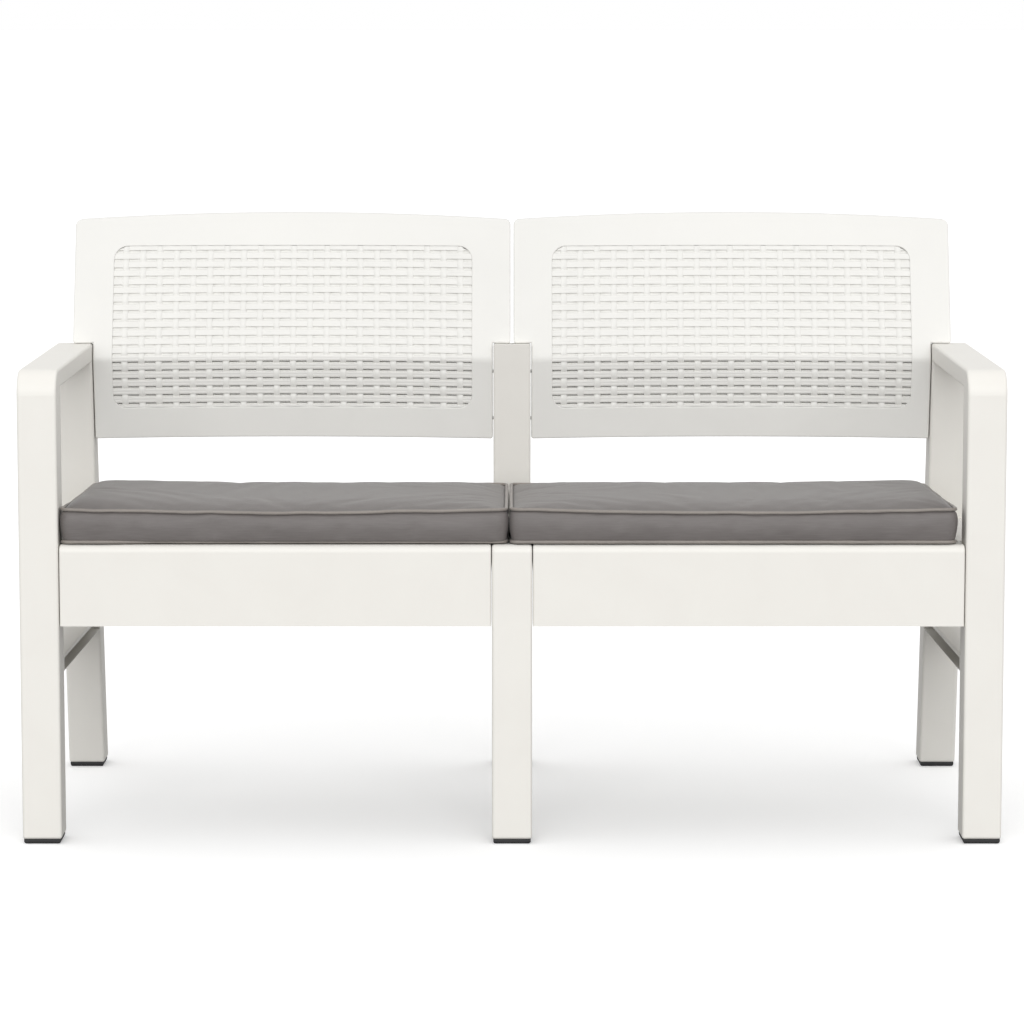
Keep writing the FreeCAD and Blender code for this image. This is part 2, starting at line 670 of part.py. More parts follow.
def welt_ring(z):
    """Piping cord round the cushion, resting in the rounded edge at this height."""
    outline = box(CUSHION_IN_X + WELT_INSET, CUSHION_OUT_X - WELT_INSET,
                  WELT_INSET, CUSHION_D - WELT_INSET, 0, 10)
    outline = outline.makeFillet(WELT_REACH, edges_where(outline, lambda m, a: abs(a.z) > 5))
    bottom = [face for face in outline.Faces if abs(face.CenterOfMass.z) < 0.01][0]
    path = Part.Wire(Part.__sortEdges__(bottom.OuterWire.Edges))
    path.translate(V(0, 0, z))
    start = path.Edges[0].valueAt(path.Edges[0].FirstParameter)
    heading = path.Edges[0].tangentAt(path.Edges[0].FirstParameter)
    profile = Part.Wire(Part.makeCircle(WELT_R, start, heading))
    return path.makePipeShell([profile], True, False)


def cushion_welts():
    return on_seat(Part.makeCompound([welt_ring(WELT_INSET), welt_ring(CUSHION_T - WELT_INSET)]))


def cushion_zip():
    """Zip tape along the middle of the cushion's rear band."""
    middle = CUSHION_T / 2
    tape = box(CUSHION_IN_X + ZIP_INSET, CUSHION_OUT_X - ZIP_INSET, CUSHION_D + 0.1, CUSHION_D + 0.9,
               middle - ZIP_W / 2, middle + ZIP_W / 2)
    teeth = box(CUSHION_IN_X + ZIP_INSET + 4, CUSHION_OUT_X - ZIP_INSET - 4,
                CUSHION_D + 0.5, CUSHION_D + 1.8, middle - 2.2, middle + 2.2)
    return on_seat(fuse([tape, teeth]))


def cushion_zip_slider():
    """Zip slider and its pull tab, at the end of the tape."""
    middle = CUSHION_T / 2
    x = CUSHION_IN_X + ZIP_INSET + 14
    slider = box(x - 5, x + 5, CUSHION_D + 1.9, CUSHION_D + 4.4, middle - 3.5, middle + 3.5)
    slider = slider.makeFillet(1.0, slider.Edges)
    tab = box(x + 3, x + 27, CUSHION_D + 2.4, CUSHION_D + 3.6, middle - 2.5, middle + 2.5)
    hole = box(x + 19, x + 24, CUSHION_D, CUSHION_D + 6, middle - 1.2, middle + 1.2)
    return on_seat(fuse([slider, tab]).cut(hole))


# ---- Write every piece ----

def save(name, shape):
    shape.exportStep(os.path.join("parts", name + ".step"))
    print(name, "valid" if shape.isValid() else "NOT VALID", len(shape.Solids), round(shape.Volume))


def save_pair(name, shape):
    """Write a +X piece as the right one, and its mirror image as the left one."""
    save("right_" + name, shape)
    save("left_" + name, mirrored(shape))


os.makedirs("parts", exist_ok=True)
save_pair("side_frame", side_frame())
save("centre_frame", centre_frame())
save_pair("seat_panel", seat_panel())
save_pair("back_panel", back_panel())
save_pair("front_foot_pad", foot_pad(SIDE_IN_X, WIDTH / 2, False))
save_pair("rear_foot_pad", foot_pad(SIDE_IN_X, WIDTH / 2, True))
save("centre_front_foot_pad", foot_pad(-CENTRE_W / 2, CENTRE_W / 2, False))
save("centre_rear_foot_pad", foot_pad(-CENTRE_W / 2, CENTRE_W / 2, True))
save("seat_screws", seat_screws())
save("back_screws", back_screws())
save_pair("cushion_cover", cushion_cover())
save_pair("cushion_foam", cushion_foam())
save_pair("cushion_welts", cushion_welts())
save_pair("cushion_zip", cushion_zip())
save_pair("cushion_zip_slider", cushion_zip_slider())
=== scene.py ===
import bpy
import bmesh
import math
from mathutils import Matrix, Vector, noise


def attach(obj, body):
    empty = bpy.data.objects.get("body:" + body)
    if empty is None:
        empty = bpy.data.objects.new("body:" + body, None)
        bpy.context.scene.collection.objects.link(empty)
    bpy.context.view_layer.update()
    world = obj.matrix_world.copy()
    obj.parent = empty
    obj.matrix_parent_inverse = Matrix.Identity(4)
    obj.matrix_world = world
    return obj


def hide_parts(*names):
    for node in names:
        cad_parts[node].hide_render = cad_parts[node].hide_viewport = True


# Garden bench: moulded white polypropylene frames, seats and woven-look backs, black foot pads,
# and two loose grey cushions with piped seams.  Metres; the front faces -Y and +Z is up.

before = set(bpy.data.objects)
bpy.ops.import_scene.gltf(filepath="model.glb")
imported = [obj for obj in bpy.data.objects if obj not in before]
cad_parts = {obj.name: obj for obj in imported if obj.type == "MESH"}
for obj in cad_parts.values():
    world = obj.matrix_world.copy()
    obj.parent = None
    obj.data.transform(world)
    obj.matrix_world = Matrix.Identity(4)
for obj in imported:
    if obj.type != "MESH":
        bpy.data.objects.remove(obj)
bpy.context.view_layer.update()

MM = 0.001
SIDES = (("right", 1), ("left", -1))

# ---- The moulded back, as the frame has it ----
RAKE = 0.1926                  # lean of the back below its crease
RECLINE = 0.354                # and above it
CREASE_Z = 563 * MM
CREASE_R = 20 * MM
BACK_R = 1300 * MM             # plan radius of the hollow front face at the crease
BACK_X = 289.5 * MM            # middle of the right back
BACK_AXIS_Y = 135 * MM - math.sqrt(BACK_R ** 2 - (263.5 * MM) ** 2)
WINDOW_HALF = 236.5 * MM
WINDOW_LOW = 495.8 * MM
WINDOW_HIGH = 707 * MM
WINDOW_CORNER = 18 * MM
WEB_DEPTH = 3.5 * MM           # the weave's web lies this far behind the border's face

# ---- The weave ----
STAKE_PITCH = 22.1 * MM
STAKE_COUNT = 21
STRAND_PITCH = 11.05 * MM
STRAND_COUNT = 20
FIRST_GROOVE_Z = 500.8 * MM    # groove between the two lowest strands
OVER_DEPTH = 0.3 * MM          # a strand's or stake's crown where it passes over the other
STRAND_UNDER = 1.2 * MM        # a strand where it passes under a stake
STAKE_UNDER = 2.2 * MM         # a stake where it passes under a strand

# ---- The cushions, each lying level with its front at y = 0 before it is put on the seat ----
SEAT_FALL = 0.035
SEAT_FRONT_Z = 371.95 * MM     # a cushion's underside, at its front
CUSHION_FRONT_Y = -280.5 * MM
LEFT_EDGES = {"right": -1.4 * MM, "left": -548.9 * MM}    # where each cushion's left side lies
# the cushions press flat against each other, and stop just short of the arms
SIDE_LIMITS = {"right": (-3.55 * MM, 551.4 * MM), "left": (-551.4 * MM, -4.15 * MM)}
CUSHION_W = 542.6 * MM
CUSHION_D = 396 * MM
CORNER_R = 12 * MM             # plan radius of the seams' corners
LOW_SEAM_Z = 1.2 * MM
TOP_SEAM_Z = 39.6 * MM
SEAM_SAG = 4.2 * MM            # the top seam droops this much between the corners
CROWN = 8.0 * MM               # the foam's crown over the top seam
OUTER_SWELL = 4.0 * MM         # and how much more of it there is towards the outer side
FRONT_TUCK = 5.0 * MM          # how far the left front band rolls under
BAND_BULGE = 3.6 * MM          # the band swells this much between its seams
PUCKER = 0.9 * MM              # puckers under the top seam
GATHER = 1.6 * MM              # height of the gathers at the right outer corner
WELT_R = 2.1 * MM              # radius of the piping
CELL = 6.5 * MM                # spacing of the cover's simulated points
BAND_ROWS = (0.05, 0.18, 0.36, 0.55, 0.72, 0.86, 0.94)    # heights of the band's points, as shares
TOP_INSET = 1.15 * WELT_R      # how far the seams lie inside the outline, top and bottom
LOW_INSET = 0.6 * WELT_R
TUCK_START = 50 * MM           # along the front, where the band begins to roll under
TUCK_RUN = 60 * MM             # and how far it takes to roll fully
TUCK_FADE = 25 * MM            # the roll dies away over this distance from the front
EDGE_RISE = 24 * MM            # the crown rises over this distance from the seams
OUTER_RISE = 6 * MM            # and over this one from the outer side
OVERHANG = 2.4 * MM            # the top swells this far out over its outer seam
OVERHANG_FADE = 7 * MM         # dying away over this distance inwards
GATHER_REACH = 45 * MM         # and how far they run before they fade
FILL_STEPS = 26                # steps of the cloth simulation
MOST_FILL = 6 * MM             # no point of a cover moves further than this when it fills out
ZIP_MARGIN = 30 * MM           # the rear band turns flat from here inwards, where the zip is sewn on
ZIP_EASE = 25 * MM             # and is quite flat after this distance more
ZIP_BAND = (6 * MM, 36 * MM)   # the heights between which it does
CORNER_STEPS = 6               # points round each corner of a seam
SEAM_STEP = 3 * MM             # and spacing of those between the corners
RING = 10                      # sides of the piping's round section

# ---- The studio ----
AMBIENT = 0.92                 # strength of the white surroundings, as the bench sees them
FRONT_LIGHT = 1.66             # strength of the soft light from the front
FRONT_ELEVATION = math.radians(14)
FRONT_SPREAD = math.radians(50)
FLOOR_GLOW = 0.22              # what the camera sees added to the floor
FLOOR_BOUNCE = 0.42            # how much light the floor throws back up
FLOOR_RADIUS = 1500            # metres, so that its edge is lost in the white
VIEW_LIMIT = 4000              # metres
LENS = 140.8                   # millimetres
CAMERA_PLACE = (0.0, -5.113, 0.993)
CAMERA_PITCH = math.radians(-6.88)


# ---------------------------------------------------------------- materials

def linear(hex_colour):
    """The linear RGBA of an sRGB hex colour."""
    channels = []
    for index in (1, 3, 5):
        value = int(hex_colour[index:index + 2], 16) / 255
        channels.append(value / 12.92 if value <= 0.04045 else ((value + 0.055) / 1.055) ** 2.4)
    return (*channels, 1.0)


def add(tree, kind, settings=None, links=None):
    """Add a node with its settings and links; a key is an input's name or number, or an attribute."""
    node = tree.nodes.new(kind)
    for key, value in (settings or {}).items():
        if isinstance(key, int) or key in node.inputs:
            node.inputs[key].default_value = value
        else:
            setattr(node, key, value)
    for key, socket in (links or {}).items():
        tree.links.new(socket, node.inputs[key])
    return node


def new_material(name, shader_settings):
    """A material with its shader and the object's coordinates, in metres."""
    material = bpy.data.materials.new(name)
    material.use_nodes = True
    tree = material.node_tree
    tree.nodes.clear()
    place = add(tree, "ShaderNodeTexCoord").outputs["Object"]
    shader = add(tree, "ShaderNodeBsdfPrincipled", shader_settings)
    add(tree, "ShaderNodeOutputMaterial", links={"Surface": shader.outputs["BSDF"]})
    return material, tree, place, shader


def moulded_polypropylene(name, whites, grain_mm, grain_depth_mm, roughness):
    """Polypropylene injected into a spark-eroded mould.

    White pigment makes it opaque; the eroded steel leaves a fine grain that breaks up reflections,
    and uneven shrinkage leaves broad, shallow waves and faint flow marks.
    """
    material, tree, place, shader = new_material(name, {"IOR": 1.49})
    flow = add(tree, "ShaderNodeTexNoise", {"Scale": 1 / (70 * MM), "Detail": 3.0, "Distortion": 0.6},
               {"Vector": place})
    tint = add(tree, "ShaderNodeMix", {"data_type": "RGBA", 6: linear(whites[0]), 7: linear(whites[1])},
               {0: flow.outputs["Fac"]})
    tree.links.new(tint.outputs[2], shader.inputs["Base Color"])
    # the real grain is about 0.2 mm across; it is drawn coarser, or it would not show
    grain = add(tree, "ShaderNodeTexNoise", {"Scale": 1 / (grain_mm * MM), "Detail": 2.0},
                {"Vector": place})
    gloss = add(tree, "ShaderNodeMapRange", {3: roughness - 0.05, 4: roughness + 0.07},
                {0: flow.outputs["Fac"]})
    tree.links.new(gloss.outputs[0], shader.inputs["Roughness"])
    wave = add(tree, "ShaderNodeTexNoise", {"Scale": 1 / (110 * MM), "Detail": 1.0}, {"Vector": place})
    broad = add(tree, "ShaderNodeBump", {"Strength": 0.35, "Distance": 0.5 * MM},
                {"Height": wave.outputs["Fac"]})
    fine = add(tree, "ShaderNodeBump", {"Strength": 0.5, "Distance": grain_depth_mm * MM},
               {"Height": grain.outputs["Fac"], "Normal": broad.outputs["Normal"]})
    tree.links.new(fine.outputs["Normal"], shader.inputs["Normal"])
    return material


def moulded_rubber(name):
    """Black thermoplastic rubber, moulded: matt, with a pebbled skin that scuffs to grey."""
    material, tree, place, shader = new_material(name, {"IOR": 1.5})
    scuff = add(tree, "ShaderNodeTexNoise", {"Scale": 1 / (9 * MM), "Detail": 4.0}, {"Vector": place})
    tint = add(tree, "ShaderNodeMix", {"data_type": "RGBA", 6: linear("#161617"), 7: linear("#3A3A3B")},
               {0: scuff.outputs["Fac"]})
    tree.links.new(tint.outputs[2], shader.inputs["Base Color"])
    gloss = add(tree, "ShaderNodeMapRange", {3: 0.55, 4: 0.85}, {0: scuff.outputs["Fac"]})
    tree.links.new(gloss.outputs[0], shader.inputs["Roughness"])
    pebble = add(tree, "ShaderNodeTexVoronoi", {"Scale": 1 / (1.4 * MM)}, {"Vector": place})
    bump = add(tree, "ShaderNodeBump", {"Strength": 0.4, "Distance": 0.12 * MM},
               {"Height": pebble.outputs["Distance"]})
    tree.links.new(bump.outputs["Normal"], shader.inputs["Normal"])
    return material


def zinc_steel(name, shade, roughness):
    """Zinc-plated steel: bright grey, with the soft blotches of the plating bath."""
    material, tree, place, shader = new_material(name, {"Metallic": 1.0})
    blotch = add(tree, "ShaderNodeTexNoise", {"Scale": 1 / (2.5 * MM), "Detail": 3.0}, {"Vector": place})
    tint = add(tree, "ShaderNodeMix", {"data_type": "RGBA", 6: linear(shade), 7: linear("#D9DBDD")},
               {0: blotch.outputs["Fac"]})
    tree.links.new(tint.outputs[2], shader.inputs["Base Color"])
    gloss = add(tree, "ShaderNodeMapRange", {3: roughness - 0.08, 4: roughness + 0.12},
                {0: blotch.outputs["Fac"]})
    tree.links.new(gloss.outputs[0], shader.inputs["Roughness"])
    bump = add(tree, "ShaderNodeBump", {"Strength": 0.2, "Distance": 0.03 * MM},
               {"Height": blotch.outputs["Fac"]})
    tree.links.new(bump.outputs["Normal"], shader.inputs["Normal"])
    return material


def woven_polyester(name, dark, light, thread_mm, turn):
    """Plain-woven polyester canvas, calendered: grey, satin where it catches the light, square-woven.

    The real threads are about 0.35 mm apart; they are drawn coarser, or they would not show.
    Thicker threads run through it as faint streaks, and it has faded a little unevenly.
    """
    material, tree, place, shader = new_material(
        name, {"IOR": 1.5, "Sheen Weight": 0.15, "Sheen Roughness": 0.3})
    turned = add(tree, "ShaderNodeMapping", {"Rotation": (0.0, 0.0, turn)}, {"Vector": place})
    across = add(tree, "ShaderNodeSeparateXYZ", links={0: turned.outputs[0]})
    rows = []
    for axis in ("X", "Y"):
        run = add(tree, "ShaderNodeMath", {"operation": "ADD"},
                  {0: across.outputs[axis], 1: across.outputs["Z"]})
        turns = add(tree, "ShaderNodeMath", {"operation": "MULTIPLY", 1: 2 * math.pi / (thread_mm * MM)},
                    {0: run.outputs[0]})
        rows.append(add(tree, "ShaderNodeMath", {"operation": "SINE"}, {0: turns.outputs[0]}).outputs[0])
    weave = add(tree, "ShaderNodeMath", {"operation": "MULTIPLY"}, {0: rows[0], 1: rows[1]})
    drawn = add(tree, "ShaderNodeMapping", {"Scale": (0.07, 1.0, 1.0)}, {"Vector": turned.outputs[0]})
    streak = add(tree, "ShaderNodeTexNoise", {"Scale": 1 / (1.5 * MM), "Detail": 2.0},
                 {"Vector": drawn.outputs[0]})
    fade = add(tree, "ShaderNodeTexNoise", {"Scale": 1 / (80 * MM), "Detail": 2.0}, {"Vector": place})
    mixed = add(tree, "ShaderNodeMath", {"operation": "MULTIPLY_ADD", 1: 0.10},
                {0: weave.outputs[0], 2: streak.outputs["Fac"]})
    aged = add(tree, "ShaderNodeMath", {"operation": "MULTIPLY_ADD", 1: 0.7},
               {0: fade.outputs["Fac"], 2: mixed.outputs[0]})
    share = add(tree, "ShaderNodeMapRange", {1: 0.4, 2: 1.3}, {0: aged.outputs[0]})
    tint = add(tree, "ShaderNodeMix", {"data_type": "RGBA", 6: linear(dark), 7: linear(light)},
               {0: share.outputs[0]})
    tree.links.new(tint.outputs[2], shader.inputs["Base Color"])
    gloss = add(tree, "ShaderNodeMapRange", {3: 0.4, 4: 0.54}, {0: streak.outputs["Fac"]})
    tree.links.new(gloss.outputs[0], shader.inputs["Roughness"])
    soft = add(tree, "ShaderNodeBump", {"Strength": 0.3, "Distance": 0.15 * MM},
               {"Height": streak.outputs["Fac"]})
    bump = add(tree, "ShaderNodeBump", {"Strength": 0.35, "Distance": 0.12 * MM},
               {"Height": weave.outputs[0], "Normal": soft.outputs["Normal"]})
    tree.links.new(bump.outputs["Normal"], shader.inputs["Normal"])
    return material


def lit_floor(name):
    """Matt white acrylic studio floor, lit a little from below so that shadows on it stay pale.

    What it throws back at the bench is less than what it shows, as when it is lit apart from it.
    """
    material, tree, place, shader = new_material(
        name, {"Specular IOR Level": 0.2, "Roughness": 0.9, "Emission Strength": FLOOR_GLOW,
               "Emission Color": (1.0, 1.0, 1.0, 1.0)})
    mottle = add(tree, "ShaderNodeTexNoise", {"Scale": 1.5, "Detail": 3.0}, {"Vector": place})
    tint = add(tree, "ShaderNodeMix", {"data_type": "RGBA", 6: linear("#F4F4F4"), 7: linear("#F7F7F7")},
               {0: mottle.outputs["Fac"]})
    tree.links.new(tint.outputs[2], shader.inputs["Base Color"])
    back = add(tree, "ShaderNodeBsdfDiffuse", {"Color": (FLOOR_BOUNCE, FLOOR_BOUNCE, FLOOR_BOUNCE, 1.0)})
    seen = add(tree, "ShaderNodeLightPath")
    both = add(tree, "ShaderNodeMixShader", links={0: seen.outputs["Is Camera Ray"],
                                                   1: back.outputs[0], 2: shader.outputs[0]})
    tree.links.new(both.outputs[0], tree.nodes["Material Output"].inputs["Surface"])
    return material


WARM_WHITE = ("#E2DFD9", "#E7E5DF")
COOL_WHITE = ("#DFDEDA", "#E4E3DF")

frame_plastic = moulded_polypropylene("white_polypropylene_frames", WARM_WHITE, 1.3, 0.10, 0.42)
seat_plastic = moulded_polypropylene("white_polypropylene_seats", WARM_WHITE, 1.5, 0.12, 0.46)
back_plastic = moulded_polypropylene("white_polypropylene_backs", COOL_WHITE, 1.1, 0.07, 0.40)
pad_rubber = moulded_rubber("black_rubber_pads")
screw_steel = zinc_steel("zinc_plated_screws", "#A9ACB0", 0.32)
slider_zinc = zinc_steel("zinc_zip_slider", "#6F7175", 0.38)
cushion_cloth = woven_polyester("grey_polyester_canvas", "#625D5B", "#726D6B", 1.1, 0.0)
# the piping is the cushions' grey canvas drawn lighter and warmer: a painted highlight for the light its
# round cord catches from above
piping_cloth_painted_highlight = woven_polyester("grey_polyester_piping_painted_highlight", "#7A746F", "#948D86", 1.1, math.radians(45))
tape_cloth = woven_polyester("grey_zip_tape", "#565455", "#666364", 1.0, 0.0)

FINISHES = (("foot_pad", pad_rubber), ("screws", screw_steel), ("zip_slider", slider_zinc),
            ("zip", tape_cloth), ("seat_panel", seat_plastic), ("back_panel", back_plastic),
            ("cushion", cushion_cloth), ("frame", frame_plastic))
for node_name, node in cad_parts.items():
    finish = [material for part, material in FINISHES if part in node_name][0]
    node.data.materials.clear()
    node.data.materials.append(finish)


# ---------------------------------------------------------------- helpers

def piece(name, vertices, faces, material, body):
    """A new mesh piece that rides on a body and takes a slot's finish."""
    mesh = bpy.data.meshes.new(name)
    mesh.from_pydata(vertices, [], faces)
    mesh.validate()
    mesh.materials.append(material)
    thing = bpy.data.objects.new(name, mesh)
    bpy.context.scene.collection.objects.link(thing)
    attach(thing, body)
    return thing


def weld(thing, distance):
    """Merge doubled points, drop faces without area and make the normals agree."""
    work = bmesh.new()
    work.from_mesh(thing.data)
    bmesh.ops.remove_doubles(work, verts=work.verts, dist=distance)
    bmesh.ops.dissolve_degenerate(work, dist=distance, edges=work.edges)
    bmesh.ops.recalc_face_normals(work, faces=work.faces)
    work.to_mesh(thing.data)
    work.free()


def smooth(thing, angle):
    """Smooth shading with the edges above the angle kept sharp."""
    thing.data.shade_smooth()
    thing.data.set_sharp_from_angle(angle=math.radians(angle))


# ---------------------------------------------------------------- woven backs

def face_radius(z):
    """Distance of the back's front face from its upright axis, at height z."""
    lower = math.atan(RAKE)
    upper = math.atan(RECLINE)
    half_bend = (lower + upper) / 2
    lean = (upper - lower) / 2
    reach = CREASE_R / math.cos(half_bend)
    centre_r = BACK_R + reach * math.cos(lean)
    centre_z = CREASE_Z - reach * math.sin(lean)
    low = centre_z - CREASE_R * math.sin(lower)
    high = centre_z + CREASE_R * math.sin(upper)
    if z < low:
        return BACK_R + RAKE * (CREASE_Z - z)
    if z > high:
        return BACK_R + RECLINE * (z - CREASE_Z)
    return centre_r - math.sqrt(CREASE_R ** 2 - (z - centre_z) ** 2)


def on_back(side, across, z, depth):
    """A point behind the back's front face; across runs from the back's middle."""
    radius = face_radius(z) + depth
    y = BACK_AXIS_Y + math.sqrt(radius ** 2 - across ** 2)
    return (side * (BACK_X + across), y, z)


def window_reach(z):
    """Half width of the window at height z, with its rounded corners."""
    inset = min(z - WINDOW_LOW, WINDOW_HIGH - z)
    if inset >= WINDOW_CORNER:
        return WINDOW_HALF
    rise = WINDOW_CORNER - max(inset, 0.0)
    return WINDOW_HALF - WINDOW_CORNER + math.sqrt(max(WINDOW_CORNER ** 2 - rise ** 2, 0.0))


def woven_depth(under, phase):
    """Depth of a crown: least on top of a crossing (phase 0), most beneath the next (phase 1)."""
    swing = math.cos(math.pi * phase)
    flattened = math.copysign(abs(swing) ** 0.7, swing)
    return (OVER_DEPTH + under) / 2 - (under - OVER_DEPTH) / 2 * flattened


# a bar's section: how far each point lies from its middle, and behind its crown, in mm
STRAND_PROFILE = ((-3.95, 9.0), (-3.9, 1.2), (-3.6, 0.35), (-2.2, 0.0), (-0.7, 0.12), (0.0, 0.34),
                  (0.7, 0.12), (2.2, 0.0), (3.6, 0.35), (3.9, 1.2), (3.95, 9.0))
STAKE_PROFILE = ((-4.3, 9.0), (-4.2, 1.1), (-3.4, 0.45), (-1.8, 0.1), (0.0, 0.0), (1.8, 0.1),
                 (3.4, 0.45), (4.2, 1.1), (4.3, 9.0))
FOOT_DEPTH = WEB_DEPTH + 0.4 * MM     # the bars of the weave end just inside the web
STEPS = 8                             # points along a bar, from one crossing to the next


def lattice(rows, faces, vertices):
    """Join rows of points into a closed bar: its long faces and both its ends."""
    start = len(vertices)
    width = len(rows[0])
    for row in rows:
        vertices.extend(row)
    for row in range(len(rows) - 1):
        for column in range(width):
            beside = (column + 1) % width
            a = start + row * width
            b = a + width
            faces.append((a + column, a + beside, b + beside, b + column))
    faces.append(tuple(start + column for column in reversed(range(width))))
    last = start + (len(rows) - 1) * width
    faces.append(tuple(last + column for column in range(width)))


def weave_relief(side_name, side):
    """The moulded weave of a back's window: upright stakes, and double-lobed strands across."""
    vertices = []
    faces = []
    half_count = (STAKE_COUNT + 1) // 2
    for strand in range(STRAND_COUNT):
        centre_z = FIRST_GROOVE_Z + (strand - 0.5) * STRAND_PITCH
        rows = []
        for step in range(-half_count * STEPS, half_count * STEPS + 1):
            across = step * STAKE_PITCH / STEPS
            stake = (STAKE_COUNT - 1) / 2 + step / STEPS
            base = woven_depth(STRAND_UNDER, stake + strand)
            row = []
            for offset, sink in STRAND_PROFILE:
                z = min(max(centre_z + offset * MM, WINDOW_LOW), WINDOW_HIGH)
                reach = window_reach(z)
                depth = min(base + sink * MM, FOOT_DEPTH)
                row.append(on_back(side, min(max(across, -reach), reach), z, depth))
            rows.append(row)
        lattice(rows, faces, vertices)
    for stake in range(STAKE_COUNT):
        centre = (stake - (STAKE_COUNT - 1) / 2) * STAKE_PITCH
        rows = []
        low_step = -STEPS
        high_step = (STRAND_COUNT + 1) * STEPS
        for step in range(low_step, high_step + 1):
            z = FIRST_GROOVE_Z + (step / STEPS - 0.5) * STRAND_PITCH
            z = min(max(z, WINDOW_LOW), WINDOW_HIGH)
            base = woven_depth(STAKE_UNDER, stake + step / STEPS + 1)
            reach = window_reach(z)
            row = []
            for offset, sink in STAKE_PROFILE:
                depth = min(base + sink * MM, FOOT_DEPTH)
                row.append(on_back(side, min(max(centre + offset * MM, -reach), reach), z, depth))
            rows.append(row)
        lattice(rows, faces, vertices)
    relief = piece(side_name + "_back_weave", vertices, faces, back_plastic, "bench")
    weld(relief, 0.02 * MM)
    smooth(relief, 38)
    return relief


for side_name, side in SIDES:
    weave_relief(side_name, side)


# ---------------------------------------------------------------- cushions

def wobble(x, y, seed, span, size):
    """A smooth, repeatable wander of the given size that turns over the given span."""
    return size * noise.noise(Vector((x / span, y / span, seed)))


def seam_height(x, y, top, seed):
    """Height of a sewn seam above the seat; the top one droops between the front corners."""
    if not top:
        return LOW_SEAM_Z
    to_rear = y / CUSHION_D
    droop = (math.sin(math.pi * x / CUSHION_W) * (1 - 0.75 * to_rear)
             + 0.35 * math.sin(math.pi * to_rear))
    return (TOP_SEAM_Z - SEAM_SAG * max(droop, 0.0) + wobble(x, y, seed, 75 * MM, 1.0 * MM)
            + wobble(x, y, seed + 9, 28 * MM, 0.5 * MM))


def rounded(x, y, inset):
    """Move a point of a rectangular grid on to a rounded rectangle with the same middle."""
    half_x = CUSHION_W / 2
    half_y = CUSHION_D / 2
    from_x = x - half_x
    from_y = y - half_y
    core_x = half_x - CORNER_R
    core_y = half_y - CORNER_R
    over_x = abs(from_x) - core_x
    over_y = abs(from_y) - core_y
    if over_x > 0 and over_y > 0:
        length = math.hypot(over_x, over_y)
        reach = max(over_x, over_y)
        over_x, over_y = over_x * reach / length, over_y * reach / length
        from_x = math.copysign(core_x + over_x, from_x)
        from_y = math.copysign(core_y + over_y, from_y)
    return (half_x + from_x * (1 - inset / half_x), half_y + from_y * (1 - inset / half_y))


def grid_lines(length):
    """Grid lines across a panel, with one at the start of each rounded corner."""
    count = round((length - 2 * CORNER_R) / CELL)
    inner = [CORNER_R + (length - 2 * CORNER_R) * index / count for index in range(count + 1)]
    return [0.0, CORNER_R / 2] + inner + [length - CORNER_R / 2, length]


def front_tuck(x, side):
    """How far the left cushion's front band is rolled under, hiding its lower piping."""
    if side > 0:
        return 0.0
    return FRONT_TUCK * min(max((x - TUCK_START) / TUCK_RUN, 0.0), 1.0)


def band_bulge(share):
    """The band swells most just under the top seam."""
    return BAND_BULGE * math.sin(math.pi * share ** 1.5) ** 0.6


def crown_height(x, y, side):
    """How far the filled top stands over its seams; it is fuller towards the outer side."""
    outer = CUSHION_W - x if side > 0 else x
    edge = min(CUSHION_W - outer, y, CUSHION_D - y)
    rise = (1 - math.exp(-edge / EDGE_RISE)) * (1 - math.exp(-outer / OUTER_RISE))
    return rise * (CROWN + OUTER_SWELL * max(1 - 2 * outer / CUSHION_W, 0.0) ** 2)


def corner_gathers(x, y, side):
    """Gathers that run out from the right cushion's outer front corner."""
    if side < 0:
        return 0.0
    reach = math.hypot(CUSHION_W - x, y)
    folds = math.sin(14 * math.atan2(y, CUSHION_W - x))
    return GATHER * folds * math.exp(-reach / GATHER_REACH) * min(reach / (14 * MM), 1.0)


